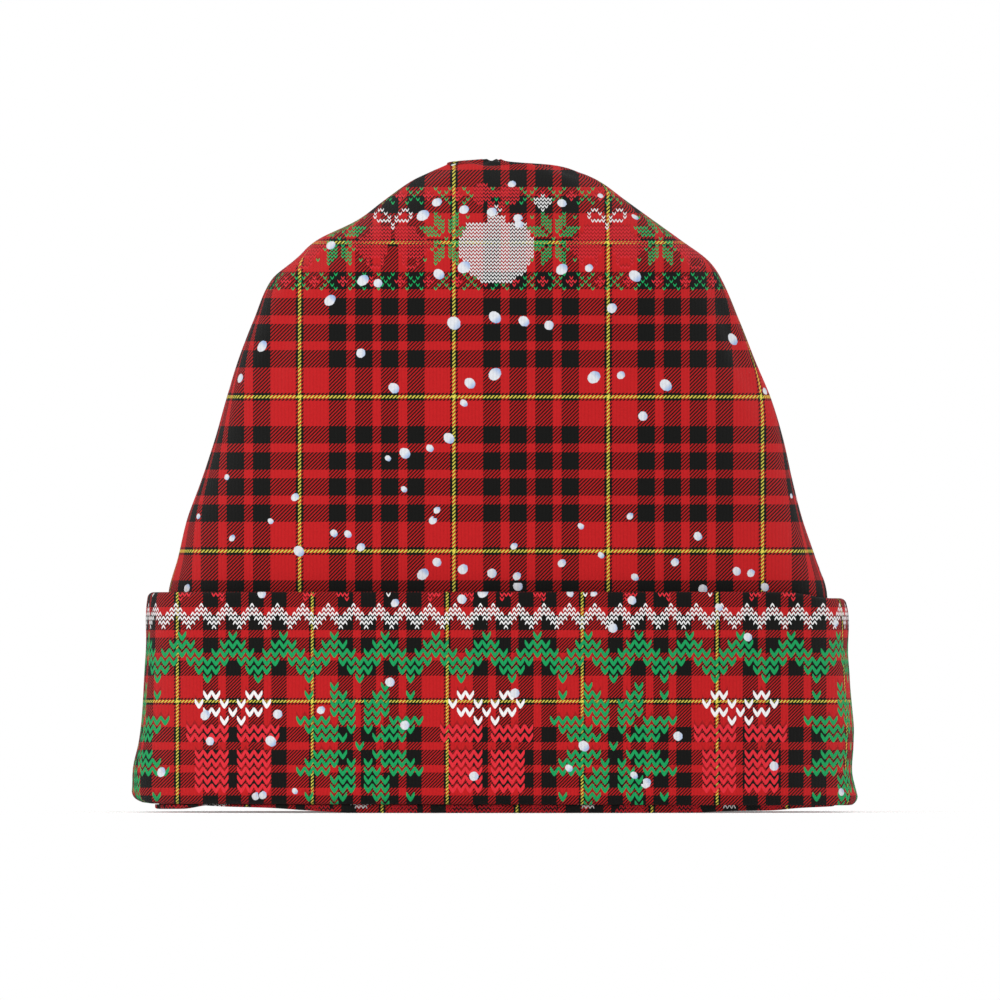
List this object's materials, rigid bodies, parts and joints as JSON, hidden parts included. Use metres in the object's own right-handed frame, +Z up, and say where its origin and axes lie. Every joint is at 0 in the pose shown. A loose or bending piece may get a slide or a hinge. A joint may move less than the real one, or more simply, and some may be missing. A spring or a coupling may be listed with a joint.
{
  "type": "cuffed beanie",
  "caption": "Cuffed jersey beanie in red and black tartan with printed knit zigzags, eight-point stars, gift boxes and snow dots, standing open end down.",
  "frame": {"origin": "on the floor under the middle of the hat, whose hem stands on it", "axes": "+X across the hat to the wearer's left as it faces -Y, +Y from front to back, +Z up to the tip"},
  "size_m": [0.2266, 0.1702, 0.205],
  "materials": {
    "crown_jersey": "matt printed double jersey, red and black tartan with knit motifs",
    "cuff_jersey": "matt printed double jersey, red and black tartan with knit borders",
    "hem_jersey": "matt printed double jersey, turned under"
  },
  "bodies": {
    "root": {"crown": "crown_jersey", "cuff": "cuff_jersey", "hem_fold": "hem_jersey"}
  },
  "joints": []
}
